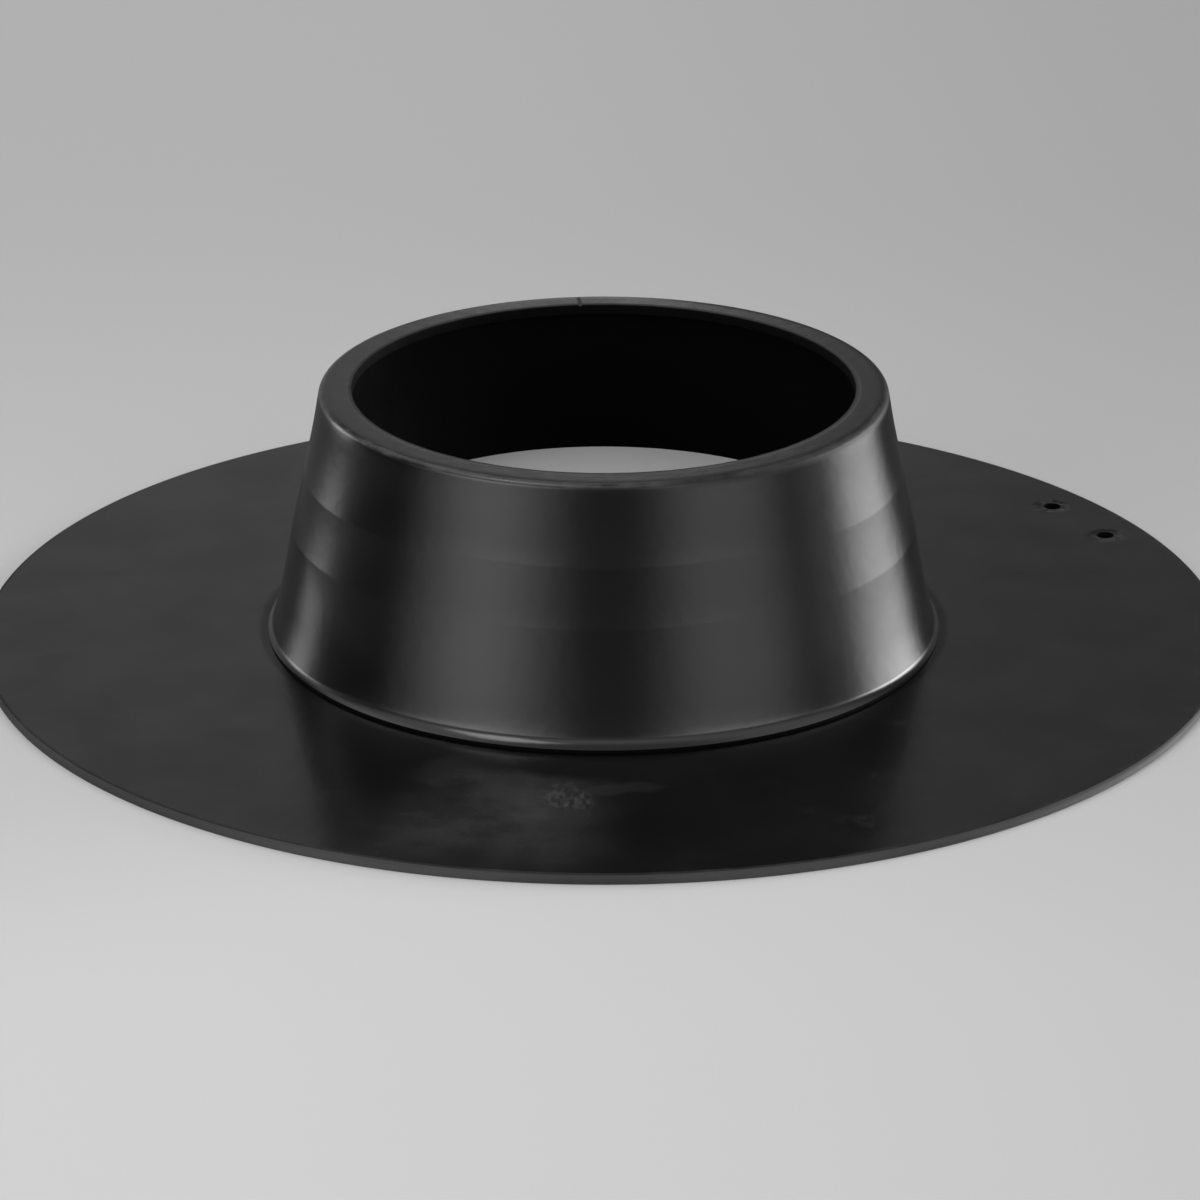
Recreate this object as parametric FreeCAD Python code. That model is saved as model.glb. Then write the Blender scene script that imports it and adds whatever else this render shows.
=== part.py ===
import FreeCAD, Part
import math
import os

# Pitch pocket: one moulded sheet-walled piece, a truncated cone on a flat round flange.
# Millimetres. The origin is the centre of the flange underside, Z runs up the cone axis.

# Sheet and flange
SHEET = 4.0
FLANGE_DIAMETER = 500.0
FLANGE_EDGE_BREAK = 0.6

# Cone wall, read on its outer face, with a low lip where it meets the flange
HEIGHT = 105.0
WALL_FOOT_DIAMETER = 268.4
WALL_HEAD_DIAMETER = 226.0
FOOT_LIP_WIDTH = 2.3
FOOT_LIP_EDGE = 1.2
FOOT_LIP_SLOPE = 3.4
MOUTH_ROUNDING = 8.0
RIM_ROUNDING = 3.0

# Rim turned in at the top, trimmed to the clear opening
OPENING_DIAMETER = 200.0
RIM_EDGE_BREAK = 0.5

# Two faint mould rings: low ridges round the cone, with the wall hollowed a little between them
RING_HEIGHTS = (72.3, 48.8)
RING_RIDGE = 0.3

# Trim mark across the rim at the back
TRIM_MARK_ANGLE = 95.5
TRIM_MARK_WIDTH = 2.4
TRIM_MARK_DEPTH = 0.9

# Two fixing holes, their centres set in from the flange edge
HOLE_DIAMETER = 7.0
HOLE_EDGE_MARGIN = 18.0
HOLE_ANGLES = (25.0, 34.8)

NODE = "moulded_pocket"


def outer_wall_radius(z):
    """Radius of the outer cone face at height z, before any rounding."""
    share = (z - SHEET) / (HEIGHT - SHEET)
    foot = WALL_FOOT_DIAMETER / 2.0
    head = WALL_HEAD_DIAMETER / 2.0
    return foot + share * (head - foot)


def profile_point(radius, z):
    """A point of the half section, in the XZ plane."""
    return FreeCAD.Vector(radius, 0.0, z)


def corner_arc(corner, toward_a, toward_b, radius):
    """Tangent points and middle point of a round of this radius on a profile corner."""
    a = (toward_a - corner).normalize()
    b = (toward_b - corner).normalize()
    half = a.getAngle(b) / 2.0
    start = corner + a * (radius / math.tan(half))
    end = corner + b * (radius / math.tan(half))
    bisector = (a + b).normalize()
    centre = corner + bisector * (radius / math.sin(half))
    middle = centre - bisector * radius
    return start, middle, end


def corner_break(corner, toward_a, toward_b, length):
    """The two ends of a small flat that breaks a sharp profile corner."""
    start = corner + (toward_a - corner).normalize() * length
    end = corner + (toward_b - corner).normalize() * length
    return start, end


# Wall direction and the inner face, which runs parallel to the outer one at sheet thickness
wall_rise = HEIGHT - SHEET
wall_lean = (WALL_FOOT_DIAMETER - WALL_HEAD_DIAMETER) / 2.0
wall_angle = math.atan2(wall_lean, wall_rise)
level_offset = SHEET / math.cos(wall_angle)


def inner_wall_radius(z):
    """Radius of the inner cone face at height z."""
    return outer_wall_radius(z) - level_offset


flange_radius = FLANGE_DIAMETER / 2.0
opening_radius = OPENING_DIAMETER / 2.0
rim_underside = HEIGHT - SHEET

# Corners of the half section
flange_low = profile_point(flange_radius, 0.0)
flange_high = profile_point(flange_radius, SHEET)
lip_radius = outer_wall_radius(SHEET) + FOOT_LIP_WIDTH
lip_foot = profile_point(lip_radius, SHEET)
lip_edge = profile_point(lip_radius, SHEET + FOOT_LIP_EDGE)
lip_top_z = SHEET + FOOT_LIP_EDGE + FOOT_LIP_SLOPE
lip_top = profile_point(outer_wall_radius(lip_top_z), lip_top_z)
head_corner = profile_point(outer_wall_radius(HEIGHT), HEIGHT)
rim_high = profile_point(opening_radius, HEIGHT)
rim_low = profile_point(opening_radius, rim_underside)
head_inside = profile_point(inner_wall_radius(rim_underside), rim_underside)
foot_inside = profile_point(inner_wall_radius(0.0), 0.0)

# Rounds and edge breaks of the half section
edge_break = corner_break(flange_high, flange_low, lip_foot, FLANGE_EDGE_BREAK)
rim_round = corner_arc(head_corner, lip_top, rim_high, RIM_ROUNDING)
trim_break = corner_break(rim_high, head_corner, rim_low, RIM_EDGE_BREAK)
mouth_round = corner_arc(foot_inside, head_inside, flange_low, MOUTH_ROUNDING)

# The half section, walked from the flange edge up the outside and down the inside
edges = []


def add_line(start, end):
    """Add a straight run of the half section."""
    edges.append(Part.LineSegment(start, end).toShape())


def add_round(arc):
    """Add one rounded corner of the half section."""
    edges.append(Part.Arc(arc[0], arc[1], arc[2]).toShape())


add_line(flange_low, edge_break[0])
add_line(edge_break[0], edge_break[1])
add_line(edge_break[1], lip_foot)
add_line(lip_foot, lip_edge)
add_line(lip_edge, lip_top)

band_start = lip_top
for ring_z in sorted(RING_HEIGHTS):
    hollow_z = (band_start.z + ring_z) / 2.0
    hollow = profile_point(outer_wall_radius(hollow_z), hollow_z)
    ridge = profile_point(outer_wall_radius(ring_z) + RING_RIDGE, ring_z)
    add_line(band_start, hollow)
    add_line(hollow, ridge)
    band_start = ridge

last_z = (band_start.z + rim_round[0].z) / 2.0
last_hollow = profile_point(outer_wall_radius(last_z), last_z)
add_line(band_start, last_hollow)
add_line(last_hollow, rim_round[0])
add_round(rim_round)
add_line(rim_round[2], trim_break[0])
add_line(trim_break[0], trim_break[1])
add_line(trim_break[1], rim_low)
add_line(rim_low, head_inside)
add_line(head_inside, mouth_round[0])
add_round(mouth_round)
add_line(mouth_round[2], flange_low)

section = Part.Face(Part.Wire(edges))
origin = FreeCAD.Vector(0.0, 0.0, 0.0)
up = FreeCAD.Vector(0.0, 0.0, 1.0)
body = section.revolve(origin, up, 360.0)

# Fixing holes, drilled square through the flange
hole_circle_radius = flange_radius - HOLE_EDGE_MARGIN
for angle in HOLE_ANGLES:
    turn = math.radians(angle)
    outward = FreeCAD.Vector(math.cos(turn), math.sin(turn), 0.0)
    centre = outward * hole_circle_radius - up * SHEET
    body = body.cut(Part.makeCylinder(HOLE_DIAMETER / 2.0, 3.0 * SHEET, centre, up))

# Trim mark: a shallow round-bottomed groove lying across the rim
groove_radius = (TRIM_MARK_WIDTH ** 2 / 4.0 + TRIM_MARK_DEPTH ** 2) / (2.0 * TRIM_MARK_DEPTH)
groove_height = HEIGHT - TRIM_MARK_DEPTH + groove_radius
turn = math.radians(TRIM_MARK_ANGLE)
outward = FreeCAD.Vector(math.cos(turn), math.sin(turn), 0.0)
groove_start = outward * (opening_radius - SHEET) + up * groove_height
groove_length = outer_wall_radius(HEIGHT) - opening_radius + 2.0 * SHEET
body = body.cut(Part.makeCylinder(groove_radius, groove_length, groove_start, outward))

solid = body.Solids[0]
assert len(body.Solids) == 1
assert solid.isValid()

os.makedirs("parts", exist_ok=True)
solid.exportStep(os.path.join("parts", NODE + ".step"))
print(NODE, "volume cm3", round(solid.Volume / 1000.0, 1), "box", solid.optimalBoundingBox())
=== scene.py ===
# %% [markdown]
# # A moulded pitch pocket
# A pitch pocket is a collar for a flat roof. Pipes or cables pass up through the cone, the wide flange
# is bedded into the roof, and sealer is poured into the cone round the pipes. The one on the table is a
# single black moulding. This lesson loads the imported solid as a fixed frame, models a finer copy of it by
# hand, gives it a satin polymer finish, and lights it like a small product studio.

# %% Load the frame
import math
import bpy
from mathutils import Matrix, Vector


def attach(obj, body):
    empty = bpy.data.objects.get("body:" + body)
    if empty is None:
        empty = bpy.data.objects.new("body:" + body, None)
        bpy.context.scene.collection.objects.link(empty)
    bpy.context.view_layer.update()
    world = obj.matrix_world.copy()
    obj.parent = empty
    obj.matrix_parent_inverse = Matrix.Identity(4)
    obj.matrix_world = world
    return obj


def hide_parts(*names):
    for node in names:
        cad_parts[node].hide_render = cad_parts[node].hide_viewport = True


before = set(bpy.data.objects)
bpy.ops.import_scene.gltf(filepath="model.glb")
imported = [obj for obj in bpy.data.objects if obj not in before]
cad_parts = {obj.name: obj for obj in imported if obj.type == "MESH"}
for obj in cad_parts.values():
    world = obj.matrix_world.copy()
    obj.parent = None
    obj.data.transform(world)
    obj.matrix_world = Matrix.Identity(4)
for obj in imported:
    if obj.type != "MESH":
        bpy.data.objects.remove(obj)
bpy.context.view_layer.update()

# %% [markdown]
# ## The sizes
# The sizes are the same as those of the solid, in metres. A moulding like this is drawn as one half
# section turned round an axis, so a few radii and heights describe nearly all of it. The wall leans in by
# about twelve degrees, and everything is one sheet thickness.

# %% Sizes of the moulding
SHEET = 0.004
HEIGHT = 0.105
FLANGE_R = 0.250
FOOT_R = 0.1342
HEAD_R = 0.1130
OPENING_R = 0.100
LIP_WIDTH = 0.0023
LIP_EDGE = 0.0012
LIP_SLOPE = 0.0034
MOUTH_ROUNDING = 0.008
RIM_ROUNDING = 0.0030
RING_HEIGHTS = (0.0723, 0.0488)
HOLE_R = 0.0035
HOLE_CIRCLE = 0.232
HOLE_ANGLES = (25.0, 34.8)
TRIM_ANGLE = 95.5

lean = math.atan2(FOOT_R - HEAD_R, HEIGHT - SHEET)


def wall_radius(z):
    """Radius of the plain outer wall at height z."""
    return FOOT_R + (z - SHEET) / (HEIGHT - SHEET) * (HEAD_R - FOOT_R)


def inner_radius(z):
    """Radius of the plain inner wall at height z."""
    return wall_radius(z) - SHEET / math.cos(lean)


print("wall leans in by", round(math.degrees(lean), 2), "degrees")

# %% [markdown]
# ## The hollow bands
# The wall is cut into three bands by two faint mould rings. Each band is a shallow hollow: its slope changes
# evenly from one end to the other by a few degrees, and jumps back at the ring, so the rings stand as two
# low ridges. A short band leads in under the rim, and the lowest band flares out again at the foot.

# %% Slopes of the bands
BAND_TOP = 0.097
BAND_TILT = 0.048
TOP_TILT = -0.3 * BAND_TILT
FLARE_HEIGHT = 0.022
FLARE_TILT = -0.010
FOOT_TILT = 0.088
LIP_TOP_SHARE = 1.15
LIP_BEND_SHARE = 0.55

rim_tangent = RIM_ROUNDING * math.tan(math.radians(45.0) - lean / 2.0)
rim_centre = (HEAD_R - rim_tangent, HEIGHT - RIM_ROUNDING)
wall_high = rim_centre[1] + RIM_ROUNDING * math.sin(lean)
lip_r = FOOT_R + LIP_WIDTH
lip_edge = (lip_r, SHEET + LIP_EDGE)
wall_low = SHEET + LIP_EDGE + LIP_SLOPE * LIP_TOP_SHARE
bend_z = SHEET + LIP_EDGE + LIP_SLOPE * LIP_BEND_SHARE
bands = [
    (wall_high, BAND_TOP, TOP_TILT, -BAND_TILT),
    (BAND_TOP, RING_HEIGHTS[0], -BAND_TILT, BAND_TILT),
    (RING_HEIGHTS[0], RING_HEIGHTS[1], -BAND_TILT, BAND_TILT),
    (RING_HEIGHTS[1], FLARE_HEIGHT, -BAND_TILT, FLARE_TILT),
    (FLARE_HEIGHT, wall_low, FLARE_TILT, FOOT_TILT),
]


def hollow(z):
    """How far the wall stands off its plain line at this height."""
    total = 0.0
    for top, bottom, tilt_top, tilt_bottom in bands:
        depth = min(max(0.0, top - z), top - bottom)
        total += tilt_top * depth + (tilt_bottom - tilt_top) * depth * depth / (2.0 * (top - bottom))
    return total


bend_end = (wall_radius(wall_low) + hollow(wall_low), wall_low)


def foot_line(z):
    """Radius of the wall carried straight on below the top of the lip."""
    return bend_end[0] + (wall_low - z) * (math.tan(lean) + FOOT_TILT)


print("deepest hollow in mm", round(1000.0 * hollow(FLARE_HEIGHT), 2))

# %% [markdown]
# ## The half section
# Before turning anything, the half section is written as a list of points, walked from the flange edge up
# the outside, over the rim and back down the inside. The two places that catch the light, the low lip at
# the foot and the rounding of the rim, get many short steps.

# %% Walk the half section
EDGE_BREAK = 0.0001
EDGE_MIDDLE = 0.0018
EDGE_ROUND = 0.0006
EDGE_FLAT = 0.003
LIP_MARGIN = 0.002
TRIM_ROUND = 0.0003
INNER_BREAK = 0.001
WALL_ROWS = 56
RING_ROWS = 6
RING_ROW = 0.0005
RING_CLEAR = 0.0034


def round_steps(centre, radius, start, end, steps):
    """Points on an arc of the half section, with angles in degrees."""
    found = []
    for i in range(steps + 1):
        turn = math.radians(start + (end - start) * i / steps)
        found.append((centre[0] + radius * math.cos(turn), centre[1] + radius * math.sin(turn)))
    return found


def bend_steps(start, corner, end, steps):
    """Points on a smooth bend that leaves toward a corner and arrives from it, without its first one."""
    found = []
    for i in range(1, steps + 1):
        t = i / steps
        a, b, c = (1.0 - t) ** 2, 2.0 * t * (1.0 - t), t * t
        found.append(tuple(a * s + b * k + c * e for s, k, e in zip(start, corner, end)))
    return found


def run_steps(start, end, steps):
    """Points on a straight run, without its first one."""
    return [
        (start[0] + (end[0] - start[0]) * i / steps, start[1] + (end[1] - start[1]) * i / steps)
        for i in range(1, steps + 1)
    ]


# Flange edge and flange top
outline = [(FLANGE_R - EDGE_BREAK, 0.0), (FLANGE_R, EDGE_BREAK), (FLANGE_R, EDGE_MIDDLE)]
outline += round_steps((FLANGE_R - EDGE_ROUND, SHEET - EDGE_ROUND), EDGE_ROUND, 0.0, 90.0, 4)
outline += run_steps(outline[-1], (FLANGE_R - EDGE_FLAT, SHEET), 2)
outline += run_steps(outline[-1], (lip_r + LIP_MARGIN, SHEET), 18)

# Foot lip and wall, with close rows at the rings
outline += [(lip_r, SHEET), lip_edge]
outline += bend_steps(lip_edge, (foot_line(bend_z), bend_z), bend_end, 10)
levels = [wall_low + (wall_high - wall_low) * i / WALL_ROWS for i in range(1, WALL_ROWS)]
for ring in RING_HEIGHTS:
    levels = [z for z in levels if not -RING_CLEAR < z - ring < RING_CLEAR]
    levels += [ring + RING_ROW * i for i in range(-RING_ROWS, RING_ROWS + 1)]
outline += [(wall_radius(z) + hollow(z), z) for z in sorted(levels)]

# Rim, from its rounding to the trimmed opening
lean_deg = math.degrees(lean)
rim_low = HEIGHT - SHEET
outline += round_steps(rim_centre, RIM_ROUNDING, lean_deg, 90.0, 10)
outline += run_steps(outline[-1], (OPENING_R + TRIM_ROUND, HEIGHT), 4)
outline += round_steps((OPENING_R + TRIM_ROUND, HEIGHT - TRIM_ROUND), TRIM_ROUND, 90.0, 180.0, 3)
outline += run_steps(outline[-1], (OPENING_R, rim_low + TRIM_ROUND), 2)
outline += [(OPENING_R + TRIM_ROUND, rim_low)]

# Inside of the cone and underside
mouth_tangent = MOUTH_ROUNDING * math.tan(math.radians(45.0) - lean / 2.0)
mouth_centre = (inner_radius(0.0) + mouth_tangent, MOUTH_ROUNDING)
mouth_top = mouth_centre[1] - MOUTH_ROUNDING * math.sin(lean)
outline += run_steps(outline[-1], (inner_radius(rim_low) - INNER_BREAK, rim_low), 2)
outline += [(inner_radius(rim_low - INNER_BREAK), rim_low - INNER_BREAK)]
outline += run_steps(outline[-1], (inner_radius(mouth_top), mouth_top), 14)
outline += round_steps(mouth_centre, MOUTH_ROUNDING, 180.0 + lean_deg, 270.0, 8)[1:]
outline += run_steps(outline[-1], (FLANGE_R - EDGE_BREAK, 0.0), 6)
print("half section has", len(outline), "points")

# %% [markdown]
# ## Turning the section
# A lathe shape can be made with Spin, or by starting from a circle and extruding it along the section.
# The second way is how it is often done by hand: extrude the loop, move it to the next height, scale it to
# the next radius. Every ring of faces is then even, and the last loop meets the first, so merging doubles
# closes the shell.

# %% Extrude a circle along the section
SEGMENTS = 320
MERGE_DISTANCE = 0.00001


def pick_nothing():
    """Leave edit mode and deselect everything, so that the next operator acts on new work only."""
    if bpy.context.object is not None and bpy.context.object.mode != "OBJECT":
        bpy.ops.object.mode_set(mode="OBJECT")
    bpy.ops.object.select_all(action="DESELECT")


pick_nothing()
bpy.ops.mesh.primitive_circle_add(
    vertices=SEGMENTS, radius=outline[0][0], fill_type="NOTHING", location=(0.0, 0.0, outline[0][1])
)
pocket = bpy.context.object
pocket.name = "pocket_moulding"
bpy.ops.object.transform_apply(location=True, rotation=True, scale=True)
bpy.ops.object.mode_set(mode="EDIT")
bpy.ops.mesh.select_all(action="SELECT")
for before, after in zip(outline, outline[1:]):
    bpy.ops.mesh.extrude_region_move(TRANSFORM_OT_translate={"value": (0.0, 0.0, after[1] - before[1])})
    grow = after[0] / before[0]
    bpy.ops.transform.resize(value=(grow, grow, 1.0), center_override=(0.0, 0.0, 0.0))
bpy.ops.mesh.select_all(action="SELECT")
bpy.ops.mesh.remove_doubles(threshold=MERGE_DISTANCE)
bpy.ops.mesh.normals_make_consistent(inside=False)
bpy.ops.object.mode_set(mode="OBJECT")
print(pocket.name, len(pocket.data.vertices), "vertices", len(pocket.data.polygons), "faces")

# %% [markdown]
# ## Uneven rings and edges
# The light slides over each hollow band and jumps back at the ridge, which is all that one sees of the
# rings. They are not quite level, which is what makes them read as a moulding mark and not as a turned
# groove. The vertices are moved in code for this, as one would push them with a sculpting brush. The lip at
# the foot is fullest in front and gets smaller and lower toward the sides and the back. The trimmed edges
# get a little unevenness too, always into the material.

# %% Shape the rings, the lip and the trimmed edges
RING_RISE = 0.0009
RING_RIPPLE = 0.0002
RING_SPREAD = 0.011
LIP_SIDE = 0.55
LIP_SINK = 0.0009
SHRINK_FROM, SHRINK_OVER = 0.55, 0.6
SINK_FROM, SINK_OVER = 1.1, 0.35
FLANGE_WAVE, FLANGE_ZONE = 0.00012, 0.004
OPENING_WAVE, OPENING_ZONE = 0.00010, 0.0008
ON_WALL = 0.0002
LIP_INSIDE, LIP_OUTSIDE = 0.0003, 0.0005
ROW_GAP = 0.00001
SURFACE_GAP = 0.0001


def smooth(value):
    """Ease from 0 to 1."""
    value = min(1.0, max(0.0, value))
    return value * value * (3.0 - 2.0 * value)


def ring_wave(z, turn):
    """How far the rows of faces near a ring rise or fall, since the rings are not quite level."""
    total = 0.0
    for number, ring in enumerate(RING_HEIGHTS):
        rise = -RING_RISE * math.cos(2.0 * turn) + RING_RIPPLE * math.sin(5.0 * turn + number)
        total += rise * smooth(1.0 - abs(z - ring) / RING_SPREAD)
    return total


def shape_lip(radius, turn, z):
    """Push and new height of a point of the lip, which shrinks and sinks away from the front."""
    away = abs(math.remainder(turn + math.pi / 2.0, 2.0 * math.pi))
    scale = 1.0 - (1.0 - LIP_SIDE) * smooth((away - SHRINK_FROM) / SHRINK_OVER)
    low = max(z, lip_edge[1])
    high = lip_edge[1] + (low - lip_edge[1]) * scale
    push = foot_line(high) + (radius - foot_line(low)) * scale - radius
    if z > SHEET + SURFACE_GAP:
        z = high - LIP_SINK * smooth((away - SINK_FROM) / SINK_OVER)
    return push, z


for vertex in pocket.data.vertices:
    x, y, z = vertex.co
    radius = math.hypot(x, y)
    turn = math.atan2(y, x)
    push = 0.0
    on_wall = abs(radius - wall_radius(z) - hollow(z)) < ON_WALL and wall_low + ROW_GAP < z < wall_high
    on_lip = foot_line(z) - LIP_INSIDE < radius < lip_r + LIP_OUTSIDE
    if on_wall:
        rise = ring_wave(z, turn)
        push = wall_radius(z + rise) - wall_radius(z)
        z += rise
    elif on_lip and SHEET - SURFACE_GAP < z < wall_low + ROW_GAP:
        push, z = shape_lip(radius, turn, z)
    elif radius > FLANGE_R - FLANGE_ZONE:
        push = -FLANGE_WAVE * (1.0 + math.sin(7.0 * turn) * math.sin(3.0 * turn + 0.7))
    elif radius < OPENING_R + OPENING_ZONE and z > rim_low - 0.0005:
        push = OPENING_WAVE * (1.0 + math.sin(61.0 * turn) * math.sin(23.0 * turn + 1.0))
    vertex.co = (x * (1.0 + push / radius), y * (1.0 + push / radius), z)
pocket.data.update()
print("rings at", RING_HEIGHTS, "tilt", BAND_TILT)

# %% [markdown]
# ## Fixing holes and the trim mark
# Two small holes near the flange edge and one shallow groove across the rim are cuts, so the tool for them
# is a Boolean modifier with a cutter. The hole cutter is a circle, extruded and scaled in edit mode so that
# it is a little wider at both faces: the cut edge is then softened, as a drilled hole in plastic is after
# deburring. The groove cutter is a cylinder lying across the rim.

# %% Cut with shaped cylinders
MARK_WIDTH = 0.0015
MARK_DEPTH = 0.0005
MARK_OVERHANG = 0.006
SINK_LOW = 0.0004
SINK_HIGH = 0.0005
DRILL_START = -0.0005


def cut_away(target, cutter):
    """Apply one Boolean difference and remove the cutter."""
    pick_nothing()
    bpy.context.view_layer.objects.active = target
    target.select_set(True)
    change = target.modifiers.new("cut", "BOOLEAN")
    change.operation = "DIFFERENCE"
    change.solver = "EXACT"
    change.object = cutter
    bpy.ops.object.modifier_apply(modifier=change.name)
    bpy.data.objects.remove(cutter, do_unlink=True)


def hole_cutter(x, y):
    """A drill with a small countersink at both faces of the flange."""
    size = HOLE_R + SINK_LOW
    pick_nothing()
    bpy.ops.mesh.primitive_circle_add(
        vertices=40, radius=size, fill_type="NGON", location=(x, y, DRILL_START)
    )
    drill = bpy.context.object
    bpy.ops.object.mode_set(mode="EDIT")
    bpy.ops.mesh.select_all(action="SELECT")
    for width, rise in [(HOLE_R, 0.0009), (HOLE_R, 0.0032), (HOLE_R + SINK_HIGH, 0.0009)]:
        bpy.ops.mesh.extrude_region_move(TRANSFORM_OT_translate={"value": (0.0, 0.0, rise)})
        bpy.ops.transform.resize(value=(width / size, width / size, 1.0), center_override=(x, y, 0.0))
        size = width
    bpy.ops.mesh.select_all(action="SELECT")
    bpy.ops.mesh.normals_make_consistent(inside=False)
    bpy.ops.object.mode_set(mode="OBJECT")
    return drill


hole_centres = []
for angle in HOLE_ANGLES:
    turn = math.radians(angle)
    hole_centres.append((HOLE_CIRCLE * math.cos(turn), HOLE_CIRCLE * math.sin(turn)))
for x, y in hole_centres:
    cut_away(pocket, hole_cutter(x, y))

mark_r = (MARK_WIDTH ** 2 / 4.0 + MARK_DEPTH ** 2) / (2.0 * MARK_DEPTH)
trim_turn = math.radians(TRIM_ANGLE)
mid_r = (OPENING_R + HEAD_R) / 2.0
pick_nothing()
bpy.ops.mesh.primitive_cylinder_add(
    vertices=48,
    radius=mark_r,
    depth=HEAD_R - OPENING_R + MARK_OVERHANG,
    location=(mid_r * math.cos(trim_turn), mid_r * math.sin(trim_turn), HEIGHT - MARK_DEPTH + mark_r),
    rotation=(0.0, math.radians(90.0), trim_turn),
)
cut_away(pocket, bpy.context.object)
print("after the cuts", len(pocket.data.polygons), "faces")

# %% [markdown]
# ## Smooth shading and paint masks
# Smooth shading by angle keeps the trimmed edges crisp and the rounds soft. The finish needs to know where
# the edges are, so each vertex stores two shares from 0 to 1. The edge share is high where an edge is rubbed
# grey; at the opening edge that grey is partly a painted highlight. The dull share is high where an edge has
# lost its gloss. A material can read these attributes wherever the piece goes.

# %% Store the two shares
SMOOTH_ANGLE = math.radians(32.0)
RIM_INSET = 0.0009
RIM_CORNER = (HEAD_R - RIM_INSET, HEIGHT - RIM_INSET)
OPENING_EDGE = (OPENING_R, HEIGHT)
FLANGE_EDGE = (FLANGE_R, SHEET)

pick_nothing()
pocket.select_set(True)
bpy.context.view_layer.objects.active = pocket
bpy.ops.object.shade_smooth_by_angle(angle=SMOOTH_ANGLE)


def near_ring(radius, z, ring, reach):
    """Share that falls from 1 on a ring of the half section to 0 at its reach."""
    return 1.0 - smooth(math.hypot(radius - ring[0], z - ring[1]) / reach)


# Each ring of the edge share has its reach and its highest share
# At the opening edge the edge share is partly a painted highlight, where the trimmed edge catches the light
edge_rings = [(FLANGE_EDGE, 0.0075, 0.6), (RIM_CORNER, 0.0034, 0.9), (OPENING_EDGE, 0.0026, 0.55)]
share = pocket.data.attributes.new("edge_share", "FLOAT", "POINT")
dull = pocket.data.attributes.new("dull_share", "FLOAT", "POINT")
for index, vertex in enumerate(pocket.data.vertices):
    x, y, z = vertex.co
    radius = math.hypot(x, y)
    best = 0.0
    for ring, reach, most in edge_rings:
        best = max(best, most * near_ring(radius, z, ring, reach))
    share.data[index].value = best
    rim = near_ring(radius, z, RIM_CORNER, 0.0042) * smooth((x - 0.005) / 0.05)
    mouth = near_ring(radius, z, OPENING_EDGE, 0.0030)
    trim = near_ring(radius, z, FLANGE_EDGE, 0.0020)
    dull.data[index].value = max(rim, 0.7 * mouth, trim)
print("attributes", share.name, dull.name)

# %% [markdown]
# ## Three kinds of faces
# The faces are sorted for three finishes: the satin outside, the raw faces that nobody polished, which are
# also painted darker as shade, and the scuffed groove. Raw are the inside of the cone, the underside and the
# walls of the holes. The small upright edge of the lip gets this dark finish too, as painted shade under the
# lip.

# %% Sort the faces
OUTSIDE, RAW_AND_SHADE, GROOVE = 0, 1, 2
FACES_IN = -0.25
FACES_DOWN = -0.3
STEEP = 0.25
LIP_NEAR = 0.0014
HOLE_NEAR = 0.0006
BELOW_TOP = 0.00002
GROOVE_LOW = HEIGHT - MARK_DEPTH - 0.0001
GROOVE_HIGH = HEIGHT - 0.00005

pocket.data.materials.clear()
face_counts = [0, 0, 0]
for face in pocket.data.polygons:
    x, y, z = face.center
    radius = math.hypot(x, y)
    outward = (face.normal.x * x + face.normal.y * y) / max(1e-9, radius)
    inside = outward < FACES_IN and radius < FOOT_R
    under = face.normal.z < FACES_DOWN
    # The upright edge of the lip takes the dark raw finish as painted shade under the lip
    upright = abs(radius - lip_r) < LIP_NEAR and SHEET < z < SHEET + LIP_EDGE and face.normal.z < STEEP
    to_hole = min(math.hypot(x - hx, y - hy) for hx, hy in hole_centres)
    drilled = to_hole < HOLE_R + HOLE_NEAR and z < SHEET - BELOW_TOP
    along = x * math.cos(trim_turn) + y * math.sin(trim_turn)
    across = y * math.cos(trim_turn) - x * math.sin(trim_turn)
    grooved = OPENING_R < along < HEAD_R and abs(across) < MARK_WIDTH / 2.0
    grooved = grooved and GROOVE_LOW < z < GROOVE_HIGH
    kind = OUTSIDE
    if inside or under or upright or drilled:
        kind = RAW_AND_SHADE
    if grooved:
        kind = GROOVE
    face.material_index = kind
    face_counts[kind] += 1
print("faces outside, raw and in the groove", face_counts)

# %% [markdown]
# ## Helpers for nodes
# In the shader editor one adds nodes and drags links between them. In code this is one small function for
# each kind of node, so that a mask later reads as one line. The map range does most of the work, because
# it turns any value into a soft step.

# %% Node helpers
def add_noise(tree, place, scale, detail, rough):
    """A noise texture on this place socket."""
    noise = tree.nodes.new("ShaderNodeTexNoise")
    noise.inputs["Scale"].default_value = scale
    noise.inputs["Detail"].default_value = detail
    noise.inputs["Roughness"].default_value = rough
    tree.links.new(place, noise.inputs["Vector"])
    return noise.outputs["Fac"]


def add_math(tree, kind, first, second):
    """A math node on two sockets or numbers."""
    work = tree.nodes.new("ShaderNodeMath")
    work.operation = kind
    for socket, value in zip(work.inputs, (first, second)):
        if isinstance(value, (int, float)):
            socket.default_value = value
        else:
            tree.links.new(value, socket)
    return work.outputs[0]


def add_range(tree, value, low, high, to_low=0.0, to_high=1.0):
    """A smooth map range node with clamped ends."""
    work = tree.nodes.new("ShaderNodeMapRange")
    work.interpolation_type = "SMOOTHSTEP"
    tree.links.new(value, work.inputs["Value"])
    work.inputs["From Min"].default_value = low
    work.inputs["From Max"].default_value = high
    work.inputs["To Min"].default_value = to_low
    work.inputs["To Max"].default_value = to_high
    return work.outputs["Result"]


def add_scaled(tree, value, source, *spans):
    """Multiply a value by one map range of the source for each span."""
    for span in spans:
        value = add_math(tree, "MULTIPLY", value, add_range(tree, source, *span))
    return value


def split_place(tree, place):
    """The X, Y and Z sockets of a place."""
    parts = tree.nodes.new("ShaderNodeSeparateXYZ")
    tree.links.new(place, parts.inputs["Vector"])
    return parts.outputs


print("node helpers are ready")

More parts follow.
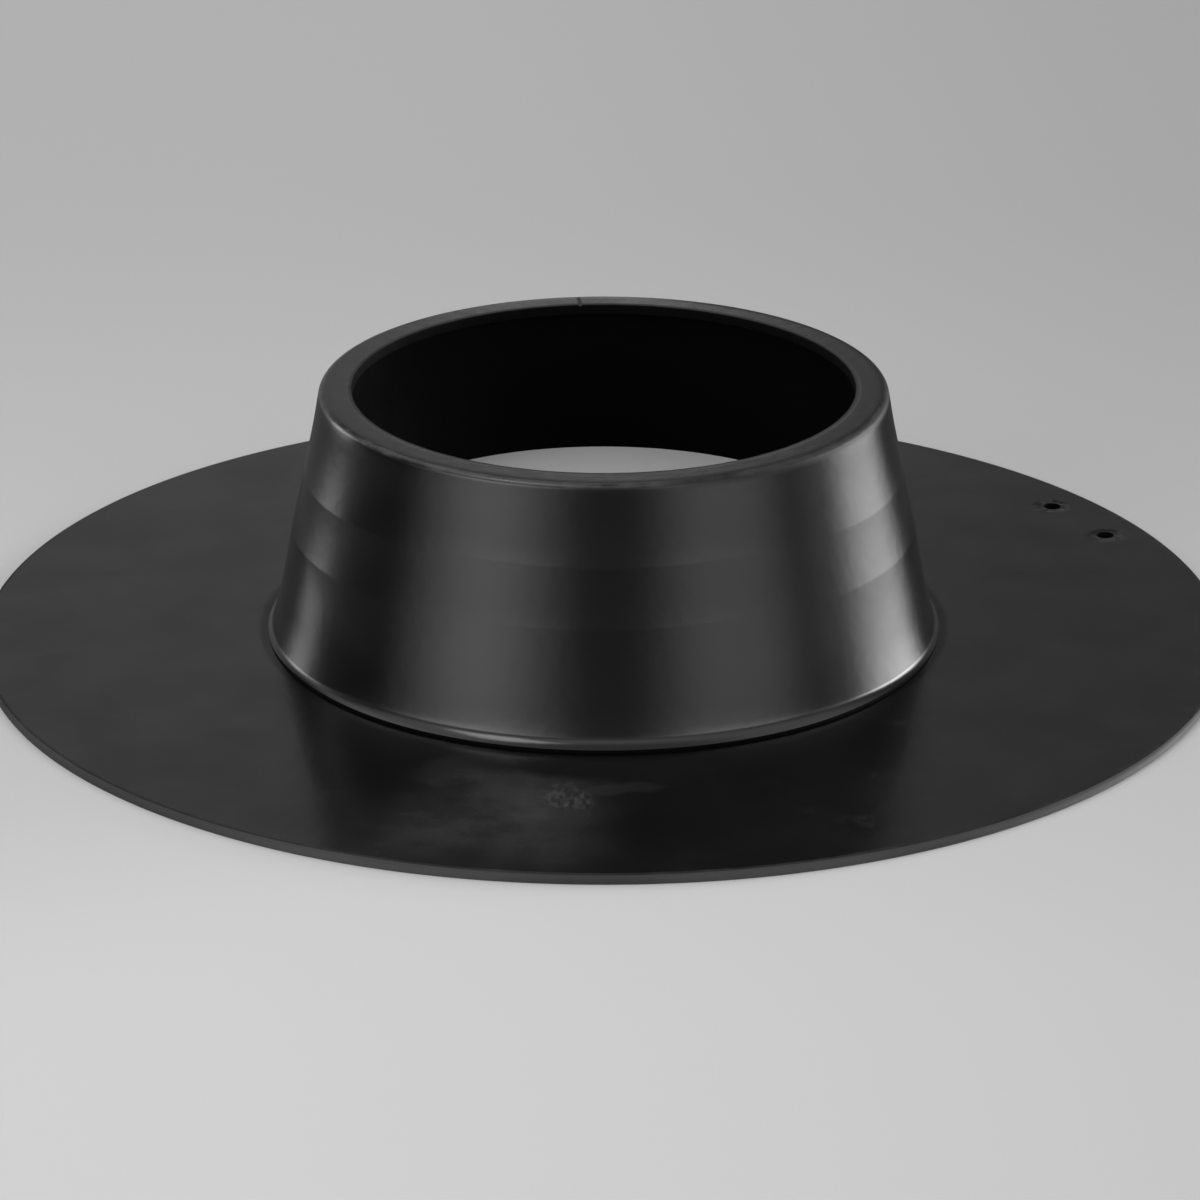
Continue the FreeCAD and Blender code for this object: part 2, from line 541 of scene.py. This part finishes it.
# %% [markdown]
# ## Shared effects for the finish
# Two effects are used by more than one finish, so they are node groups with named inputs and outputs. One
# is the fine moulded grain: a pebbled skin under a millimetre across, on a slower orange-peel swell. The
# other is a cloudy patchiness at hand size, for gloss that is never quite even on handled plastic.

# %% Grain and cloud groups
def new_group(name, inputs, outputs):
    """An empty shader node group with float sockets and a vector input."""
    group = bpy.data.node_groups.new(name, "ShaderNodeTree")
    group.interface.new_socket("Place", in_out="INPUT", socket_type="NodeSocketVector")
    for label, value in inputs:
        socket = group.interface.new_socket(label, in_out="INPUT", socket_type="NodeSocketFloat")
        socket.default_value = value
    for label in outputs:
        group.interface.new_socket(label, in_out="OUTPUT", socket_type="NodeSocketFloat")
    entry = group.nodes.new("NodeGroupInput")
    leave = group.nodes.new("NodeGroupOutput")
    return group, entry, leave


grain_group, entry, leave = new_group("moulded_grain", [("Pebble", 0.5), ("Swell", 0.5)], ["Height"])
pebble = add_noise(grain_group, entry.outputs["Place"], 1500.0, 2.0, 0.55)
swell = add_noise(grain_group, entry.outputs["Place"], 160.0, 1.0, 0.5)
pebble = add_math(grain_group, "MULTIPLY", pebble, entry.outputs["Pebble"])
swell = add_math(grain_group, "MULTIPLY", swell, entry.outputs["Swell"])
grain_group.links.new(add_math(grain_group, "ADD", pebble, swell), leave.inputs["Height"])

cloud_group, entry, leave = new_group("hand_cloud", [("Low", 0.38), ("High", 0.66)], ["Cloud"])
broad = add_noise(cloud_group, entry.outputs["Place"], 14.0, 4.0, 0.6)
span = cloud_group.nodes.new("ShaderNodeMapRange")
span.interpolation_type = "SMOOTHSTEP"
cloud_group.links.new(broad, span.inputs["Value"])
cloud_group.links.new(entry.outputs["Low"], span.inputs["From Min"])
cloud_group.links.new(entry.outputs["High"], span.inputs["From Max"])
cloud_group.links.new(span.outputs["Result"], leave.inputs["Cloud"])
print("groups", [group.name for group in bpy.data.node_groups])

# %% [markdown]
# ## Helpers for materials
# Every finish starts from a shader and its object coordinates, blends a few colours, reads the stored
# shares and lays a bump. The marks on the flange are placed on its plan, like stickers on a map, so a soft
# oval patch is one of the helpers.

# %% Material helpers
def grey(value):
    """A neutral colour."""
    return (value, value, value, 1.0)


def new_finish(name):
    """A new material: its node tree, its shader and its object coordinates."""
    finish = bpy.data.materials.new(name)
    finish.use_nodes = True
    tree = finish.node_tree
    place = tree.nodes.new("ShaderNodeTexCoord").outputs["Object"]
    return finish, tree, tree.nodes["Principled BSDF"], place


def place_group(tree, group, place, values):
    """Put a node group into a material with its own values."""
    found = tree.nodes.new("ShaderNodeGroup")
    found.node_tree = group
    tree.links.new(place, found.inputs["Place"])
    for label, value in values.items():
        found.inputs[label].default_value = value
    return found


def mix_colours(tree, share_socket, first, second):
    """Blend two colours, either of them a socket or a plain value."""
    mix = tree.nodes.new("ShaderNodeMix")
    mix.data_type = "RGBA"
    tree.links.new(share_socket, mix.inputs["Factor"])
    for label, value in (("A", first), ("B", second)):
        socket = [s for s in mix.inputs if s.name == label and s.type == "RGBA"][0]
        if isinstance(value, tuple):
            socket.default_value = value
        else:
            tree.links.new(value, socket)
    return [s for s in mix.outputs if s.type == "RGBA"][0]


def add_vector(tree, kind, *values):
    """A vector math node on sockets or plain vectors."""
    work = tree.nodes.new("ShaderNodeVectorMath")
    work.operation = kind
    for socket, value in zip(work.inputs, values):
        if isinstance(value, tuple):
            socket.default_value = value
        else:
            tree.links.new(value, socket)
    return work


def read_attribute(tree, name):
    """The value of a vertex attribute."""
    found = tree.nodes.new("ShaderNodeAttribute")
    found.attribute_name = name
    return found.outputs["Fac"]


def add_patch(tree, parts, middle, size):
    """A soft oval patch on the plan of the flange: 1 in its middle, 0 at its edge."""
    across = add_math(tree, "DIVIDE", add_math(tree, "SUBTRACT", parts["X"], middle[0]), size[0])
    along = add_math(tree, "DIVIDE", add_math(tree, "SUBTRACT", parts["Y"], middle[1]), size[1])
    squares = [add_math(tree, "POWER", offset, 2.0) for offset in (across, along)]
    return add_range(tree, add_math(tree, "ADD", *squares), 1.0, 0.1)


def add_bump(tree, height, strength, distance, under=None):
    """A bump node on this height, laid over another normal if there is one."""
    bump = tree.nodes.new("ShaderNodeBump")
    bump.inputs["Strength"].default_value = strength
    bump.inputs["Distance"].default_value = distance
    tree.links.new(height, bump.inputs["Height"])
    if under is not None:
        tree.links.new(under, bump.inputs["Normal"])
    return bump.outputs["Normal"]


print("material helpers are ready")

# %% [markdown]
# ## The satin black skin
# Black plastic gets nearly all its look from reflections, so the colour is one dark value with very little
# change, and the work goes into gloss, roughness and bump. First come the masks. Worn edges are a touch
# greyer and duller; at the opening edge that grey is partly a painted highlight. The sawn face of the flange
# edge is painted darker on the left as shade. In front the flange carries a pale rubbed haze with a ragged
# outline, as the real one does where it was handled. It also carries a small flecked smudge that is partly a
# scuff and partly a painted reflection of the bright band on the cone. A narrow ring of painted shade lies
# on the flange close to the lip, and the holes have burrs and darker blotches of lowered gloss round them.

# %% Masks of the skin
skin, tree, shader, place = new_finish("satin_black_skin")
parts = split_place(tree, place)
reach = add_vector(tree, "LENGTH", place).outputs["Value"]
on_flange = add_range(tree, parts["Z"], 0.0045, 0.0040)

# Edges: rubbed grey, dulled, and the sawn face of the flange edge; at the opening edge the grey is partly a
# painted highlight
patchy = add_noise(tree, place, 90.0, 4.0, 0.65)
wear_and_highlight = add_math(tree, "MULTIPLY", read_attribute(tree, "edge_share"), patchy)
wear_and_highlight = add_range(tree, wear_and_highlight, 0.24, 0.58)
dulled = read_attribute(tree, "dull_share")
sawn_face_and_left_shade = add_range(tree, reach, FLANGE_R - 0.0004, FLANGE_R - 0.0001)
# The sawn face is painted darker on the left as shade, where less light falls on the edge
sawn_face_and_left_shade = add_scaled(tree, sawn_face_and_left_shade, parts["X"], (-0.22, -0.08, 0.74, 1.0))

# Faint rubbing all over the flange, and a narrow ring of painted shade close to the lip, where the gloss is
# lowered
rub = add_range(tree, add_noise(tree, place, 32.0, 6.0, 0.72), 0.55, 0.78)
rub = add_math(tree, "MULTIPLY", rub, on_flange)
foot_painted_shade = add_math(tree, "MULTIPLY", add_range(tree, reach, 0.1405, 0.1370), on_flange)

# Plan of the flange with a ragged shift, for torn outlines
ragged = tree.nodes.new("ShaderNodeTexNoise")
ragged.inputs["Scale"].default_value = 38.0
ragged.inputs["Detail"].default_value = 2.0
tree.links.new(place, ragged.inputs["Vector"])
shift = add_vector(tree, "MULTIPLY_ADD", ragged.outputs["Color"], (0.016, 0.020, 0.0), (-0.008, -0.010, 0.0))
torn = split_place(tree, add_vector(tree, "ADD", place, shift.outputs[0]).outputs[0])

# Pale haze: bounded by two slanting lines, blotchy inside
slant = add_math(tree, "ADD", torn["Y"], add_math(tree, "MULTIPLY", torn["X"], 0.25))
drift = add_math(tree, "SUBTRACT", torn["X"], add_math(tree, "MULTIPLY", torn["Y"], 0.42))
haze = add_range(tree, slant, -0.160, -0.171)
haze = add_scaled(tree, haze, torn["Y"], (-0.275, -0.186))
haze = add_scaled(tree, haze, drift, (-0.016, 0.040))
haze = add_scaled(tree, haze, torn["X"], (0.018, -0.030))
corner = add_math(tree, "MULTIPLY", add_patch(tree, torn, (-0.058, -0.154), (0.016, 0.016)), 0.3)
haze = add_math(tree, "ADD", haze, corner)
haze = add_scaled(tree, haze, add_noise(tree, place, 30.0, 4.0, 0.55), (0.24, 0.74, 0.25, 1.0))
haze = add_math(tree, "MULTIPLY", haze, on_flange)

# Flecked smudge with a short tail: partly a scuff, partly a painted reflection of the bright band on the
# cone
stretched = add_vector(tree, "MULTIPLY", place, (1.0, 0.42, 1.0)).outputs[0]
fleck = add_range(tree, add_noise(tree, stretched, 430.0, 3.0, 0.6), 0.40, 0.66)
smudge_and_reflection = add_math(tree, "MULTIPLY", fleck, add_patch(tree, torn, (-0.0132, -0.1780), (0.0125, 0.0150)))
tail = add_math(tree, "MULTIPLY", add_patch(tree, torn, (0.0060, -0.1725), (0.020, 0.0060)), 0.14)
smudge_and_reflection = add_math(tree, "MULTIPLY", add_math(tree, "MAXIMUM", smudge_and_reflection, tail), on_flange)

# Burrs round the holes, and darker blotches where the gloss is lowered
burr = 0.0
for centre in hole_centres:
    burr = add_math(tree, "MAXIMUM", burr, add_patch(tree, parts, centre, (0.0115, 0.0110)))
chip = add_range(tree, add_noise(tree, place, 380.0, 3.0, 0.6), 0.50, 0.62)
chip = add_math(tree, "MULTIPLY", chip, burr)
low_gloss_blotch = add_range(tree, add_noise(tree, place, 200.0, 3.0, 0.6), 0.54, 0.42)
low_gloss_blotch = add_math(tree, "MULTIPLY", low_gloss_blotch, burr)
print("masks use", len(tree.nodes), "nodes")

# %% [markdown]
# The masks now drive the shader. Colour steps up from mask to mask, each mask adds some roughness, and the
# gloss drops where the skin is dull, in the ring of painted shade by the lip and in the blotches round the
# holes. The flange is mottled a little. Two bumps lie over each other: a slow ripple of the sheet, dished
# round the holes, and the fine grain.

# %% Colour, gloss and bump of the skin
BASE_TONE = 0.0011
SKIN_IOR = 1.48

# The smudge tone is partly a painted reflection, the worn grey is partly a painted highlight at the opening
# edge, and the sawn tone is painted darker on the left as shade
tones = [(rub, 0.0030), (haze, 0.0260), (smudge_and_reflection, 0.0450), (chip, 0.022), (wear_and_highlight, 0.026), (sawn_face_and_left_shade, 0.048)]
colour = grey(BASE_TONE)
for mask, tone in tones:
    colour = mix_colours(tree, mask, colour, grey(tone))
tree.links.new(colour, shader.inputs["Base Color"])

cloud = place_group(tree, cloud_group, place, {"Low": 0.36, "High": 0.68})
rough = add_range(tree, cloud.outputs["Cloud"], 0.0, 1.0, 0.17, 0.21)
for mask, amount in [(rub, 0.10), (wear_and_highlight, 0.22), (haze, 0.22), (sawn_face_and_left_shade, 0.30), (dulled, 0.42)]:
    rough = add_math(tree, "ADD", rough, add_math(tree, "MULTIPLY", mask, amount))
tree.links.new(rough, shader.inputs["Roughness"])

mottle = add_range(tree, add_noise(tree, place, 24.0, 5.0, 0.6), 0.25, 0.75, -0.22, 0.22)
mottle = add_math(tree, "ADD", add_math(tree, "MULTIPLY", mottle, on_flange), 1.0)
# The gloss is lowered in a ring by the lip as painted shade
shine = add_range(tree, foot_painted_shade, 0.0, 1.0, 0.5, 0.22)
shine = add_scaled(tree, shine, dulled, (0.0, 1.0, 1.0, 0.45))
shine = add_math(tree, "MULTIPLY", shine, mottle)
shine = add_scaled(tree, shine, low_gloss_blotch, (0.0, 1.0, 1.0, 0.35))
tree.links.new(shine, shader.inputs["Specular IOR Level"])

wave = add_noise(tree, place, 13.0, 2.0, 0.5)
wave = add_scaled(tree, wave, on_flange, (0.0, 1.0, 0.40, 1.0))
for centre in hole_centres:
    dish = add_patch(tree, parts, centre, (0.0090, 0.0080))
    dish = add_math(tree, "MULTIPLY", dish, add_noise(tree, place, 240.0, 2.0, 0.5))
    wave = add_math(tree, "SUBTRACT", wave, add_math(tree, "MULTIPLY", dish, 0.8))
ripple = add_bump(tree, wave, 1.0, 0.0005)
grain = place_group(tree, grain_group, place, {"Pebble": 0.10, "Swell": 0.55})
tree.links.new(add_bump(tree, grain.outputs["Height"], 0.35, 0.0003, ripple), shader.inputs["Normal"])
shader.inputs["IOR"].default_value = SKIN_IOR
pocket.data.materials.append(skin)
print("outside finish", skin.name)

# %% [markdown]
# ## The raw inner face, with painted shade
# The inside of the cone and the underside never touched the polished side of the mould. They are duller,
# with a coarser pebble, and their colour is painted darker as the shade inside the cone, so the opening
# reads as a deep black well. The trim mark on the rim is scuffed grey.

# %% Raw inside finish with painted shade, and scuffed groove
CLOUD_SPAN = {"Low": 0.34, "High": 0.70}
RAW_IOR = 1.35

raw_face_and_shade, tree, shader, place = new_finish("raw_inner_face_and_shade")
cloud = place_group(tree, cloud_group, place, CLOUD_SPAN).outputs["Cloud"]
grain = place_group(tree, grain_group, place, {"Pebble": 0.5, "Swell": 0.5})
tree.links.new(mix_colours(tree, cloud, grey(0.0006), grey(0.001)), shader.inputs["Base Color"])
tree.links.new(add_range(tree, cloud, 0.0, 1.0, 0.74, 0.84), shader.inputs["Roughness"])
tree.links.new(add_bump(tree, grain.outputs["Height"], 0.5, 0.0004), shader.inputs["Normal"])
shader.inputs["IOR"].default_value = RAW_IOR
shader.inputs["Specular IOR Level"].default_value = 0.12
pocket.data.materials.append(raw_face_and_shade)

scuffed, tree, shader, place = new_finish("scuffed_groove")
cloud = place_group(tree, cloud_group, place, CLOUD_SPAN).outputs["Cloud"]
tree.links.new(mix_colours(tree, cloud, grey(0.020), grey(0.030)), shader.inputs["Base Color"])
shader.inputs["Roughness"].default_value = 0.7
shader.inputs["Specular IOR Level"].default_value = 0.2
pocket.data.materials.append(scuffed)

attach(pocket, "root")
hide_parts("moulded_pocket")
print("inside finish", raw_face_and_shade.name, "and groove", scuffed.name)

# %% [markdown]
# ## Floor
# The floor is one wide pale sheet, painted a little darker toward the back and toward the right as shade.
# Inside the cone it stands a little higher, as a round block of a slightly darker paper, painted darker as
# the shade inside the cone, because from this low angle the ground itself would be hidden by the near rim,
# and the opening shows a pale crescent. Both are stage: they are not part of the moulding.

# %% Pale floor
FLOOR_SIZE = 60.0
FLOOR_DROP = 0.0001
RISER_TOP = 0.0413
RISER_R = 0.105
RISER_SINK = 0.0004

pick_nothing()
bpy.ops.mesh.primitive_plane_add(size=FLOOR_SIZE, location=(0.0, 0.0, -FLOOR_DROP))
floor = bpy.context.object
floor.name = "floor"
bpy.ops.object.transform_apply(location=True, rotation=True, scale=True)

pick_nothing()
bpy.ops.mesh.primitive_cylinder_add(
    vertices=160, radius=RISER_R, depth=RISER_TOP, location=(0.0, 0.0, RISER_TOP / 2.0 - RISER_SINK)
)
riser = bpy.context.object
riser.name = "floor_riser"
bpy.ops.object.transform_apply(location=True, rotation=True, scale=True)
bpy.ops.object.shade_smooth_by_angle(angle=SMOOTH_ANGLE)


def pale_paper(name, near, far):
    """Matt paper with painted shade: a little darker toward the back and toward the right, where the light
    falls off.
    """
    paper, tree, shader, place = new_finish(name)
    parts = split_place(tree, place)
    tone = add_range(tree, parts["Y"], -0.40, 0.62)
    colour = mix_colours(tree, tone, grey(near), grey(far))
    shade = add_range(tree, parts["X"], -0.20, 0.55, 0.0, 0.17)
    colour = mix_colours(tree, shade, colour, grey(0.0))
    tree.links.new(colour, shader.inputs["Base Color"])
    shader.inputs["Roughness"].default_value = 0.9
    shader.inputs["Specular IOR Level"].default_value = 0.1
    return paper


floor.data.materials.append(pale_paper("pale_floor", 0.535, 0.384))
# The riser paper is painted darker than the floor near it, as the shade inside the cone
riser.data.materials.append(pale_paper("riser_paper_painted_shade", 0.44, 0.44))
floor.visible_glossy = False
floor.visible_shadow = False
riser.visible_glossy = False
print("floor and riser, riser top at", RISER_TOP)

# %% [markdown]
# ## Camera
# The view is a long lens from slightly above: the ellipses of rim and flange gave a height of about
# twenty-two degrees and a distance of nearly ten flange radii. A long lens keeps the flange round.

# %% Place the camera
LENS_PX = 5923.0
FRAME_PX = 1200.0
SENSOR_MM = 36.0
CAMERA_RISE = 21.8
CAMERA_DIP = 21.504
CAMERA_PAN = 0.0375
CAMERA_DISTANCE = 9.578 * FLANGE_R

rise = math.radians(CAMERA_RISE)
lens = bpy.data.cameras.new("camera")
lens.sensor_width = SENSOR_MM
lens.lens = LENS_PX / FRAME_PX * SENSOR_MM
camera = bpy.data.objects.new("camera", lens)
camera.location = (0.0, -CAMERA_DISTANCE * math.cos(rise), CAMERA_DISTANCE * math.sin(rise))
camera.rotation_euler = (math.radians(90.0 - CAMERA_DIP), 0.0, math.radians(CAMERA_PAN))
bpy.context.scene.collection.objects.link(camera)
bpy.context.scene.camera = camera
print("camera at", [round(v, 3) for v in camera.location], "lens", round(lens.lens, 1))

# %% [markdown]
# ## Light
# Black plastic is lit by what it reflects. The world is a plain dim studio with soft upright cards standing
# round the table, and each card gives one upright band on the cone: a bright one behind to the right, a
# weaker one behind to the left, and two broad dim ones in front with a dark gap between them. The cards are
# not evenly bright from bottom to top, so each has its own list of spans by level.

# %% Soft cards
# Each card is its bearing in degrees, the half widths of its full and of its fading part, and its glow
LEFT_CARD = (-125.8, 2.0, 13.0, 0.96)
RIGHT_CARD = (116.6, 4.5, 25.6, 4.0)
FRONT_CARDS = [
    (-122.0, 6.0, 20.0, 0.15),
    (-44.5, 0.0, 41.0, 1.74),
    (46.5, 6.0, 38.0, 1.12),
    (90.0, 2.0, 18.0, 0.45),
]
# Each span is two levels, from -1 straight down to 1 straight up, and the share at each, if not 0 and 1
LEFT_SPANS = [
    (-0.205, -0.125, 0.05, 1.0),
    (-0.13, -0.09, 1.0, 1.7),
    (0.0, 0.06, 1.0, 2.4),
    (0.10, 0.17, 1.0, 0.62),
    (0.23, 0.29, 1.0, 2.6),
    (0.36, 0.24, 0.06, 1.0),
]
RIGHT_SPANS = [(-0.24, -0.04, 0.60, 1.18), (0.0, 0.10, 1.0, 2.6), (0.42, 0.28)]
FRONT_SPANS = [(-0.30, -0.15), (-0.12, 0.12, 1.14, 0.84), (0.07, 0.20, 1.0, 2.2), (0.65, 0.40)]


def add_card(tree, bearing_socket, bearing, inner, outer, glow):
    """Glow of one upright card by bearing: full inside the inner half width, nothing past the outer."""
    away = tree.nodes.new("ShaderNodeMath")
    away.operation = "WRAP"
    tree.links.new(bearing_socket, away.inputs[0])
    away.inputs[1].default_value = math.radians(bearing) + math.pi
    away.inputs[2].default_value = math.radians(bearing) - math.pi
    away = add_math(tree, "SUBTRACT", away.outputs[0], math.radians(bearing))
    away = add_math(tree, "ABSOLUTE", away, 0.0)
    return add_range(tree, away, math.radians(outer), math.radians(inner), 0.0, glow)


world = bpy.data.worlds.new("studio")
bpy.context.scene.world = world
world.use_nodes = True
tree = world.node_tree
parts = split_place(tree, tree.nodes.new("ShaderNodeTexCoord").outputs["Generated"])
level = parts["Z"]
forward = add_math(tree, "MULTIPLY", parts["Y"], -1.0)
bearing = add_math(tree, "ARCTAN2", parts["X"], forward)

left = add_scaled(tree, add_card(tree, bearing, *LEFT_CARD), level, *LEFT_SPANS)
right = add_scaled(tree, add_card(tree, bearing, *RIGHT_CARD), level, *RIGHT_SPANS)
front = add_card(tree, bearing, *FRONT_CARDS[0])
for card in FRONT_CARDS[1:]:
    front = add_math(tree, "ADD", front, add_card(tree, bearing, *card))
front = add_scaled(tree, front, level, *FRONT_SPANS)
cards = add_math(tree, "ADD", add_math(tree, "ADD", left, right), front)
print("cards at", [card[0] for card in [LEFT_CARD, RIGHT_CARD] + FRONT_CARDS])

# %% [markdown]
# Behind the cards is the room itself, which is dim, and above them hangs a wide soft ceiling for the floor.
# One lamp, high at the front left, adds the small lights on the rim and on the foot lip.

# %% Room, ceiling and lamp
ROOM_GLOW = 0.23
LAMP_AIM = (0.0, 0.0, 0.08)

# The room is dim all round, brighter behind to the left, with one narrow bright strip straight behind
sideways = add_math(tree, "ABSOLUTE", parts["X"], 0.0)
strip = add_range(tree, level, 0.335, 0.305, 0.0, 1.2)
strip = add_scaled(tree, strip, sideways, (0.032, 0.008))
strip = add_scaled(tree, strip, level, (0.18, 0.28))
behind = add_range(tree, parts["X"], -0.10, 0.10, 0.322, 0.188)
behind = add_math(tree, "ADD", behind, strip)
behind = add_scaled(tree, behind, level, (0.53, 0.45, 0.25, 1.0))
room = add_range(tree, parts["Y"], -0.1, 0.5)
room = add_math(tree, "MULTIPLY", room, add_math(tree, "SUBTRACT", behind, ROOM_GLOW))
room = add_math(tree, "ADD", room, ROOM_GLOW)
room = add_scaled(tree, room, level, (-0.25, -0.12, 0.35, 1.0))

# It fades low down at both sides
fade = add_range(tree, level, -0.18, -0.04, 0.05, 0.65)
fade = add_scaled(tree, fade, sideways, (0.6, 0.9))
fade = add_scaled(tree, fade, level, (0.12, 0.02))
room = add_math(tree, "SUBTRACT", room, add_math(tree, "MULTIPLY", room, fade))

# The ceiling reaches lower in front
upper = add_range(tree, level, 0.06, 0.50, 0.0, 0.30)
upper = add_scaled(tree, upper, parts["Y"], (0.0, -0.35))
ceiling = add_math(tree, "MAXIMUM", add_range(tree, level, 0.50, 0.80, 0.0, 0.95), upper)
ceiling = add_scaled(tree, ceiling, level, (0.985, 0.90, 0.30, 1.0))
glow = add_math(tree, "ADD", add_math(tree, "ADD", room, cards), ceiling)
background = tree.nodes["Background"]
background.inputs["Color"].default_value = grey(1.0)
tree.links.new(glow, background.inputs["Strength"])


def softbox(name, place, size, glow):
    """A square lamp facing the object, with a given surface brightness."""
    light = bpy.data.lights.new(name, "AREA")
    light.size = size
    light.energy = glow * size * size * math.pi
    lamp = bpy.data.objects.new(name, light)
    lamp.location = place
    lamp.rotation_euler = (Vector(LAMP_AIM) - lamp.location).to_track_quat("-Z", "Y").to_euler()
    lamp.visible_camera = False
    bpy.context.scene.collection.objects.link(lamp)


softbox("lamp_front_left", (-1.0, -0.72, 2.3), 0.9, 4.5)
bpy.context.scene.view_settings.view_transform = "Standard"
print("world uses", len(tree.nodes), "nodes")
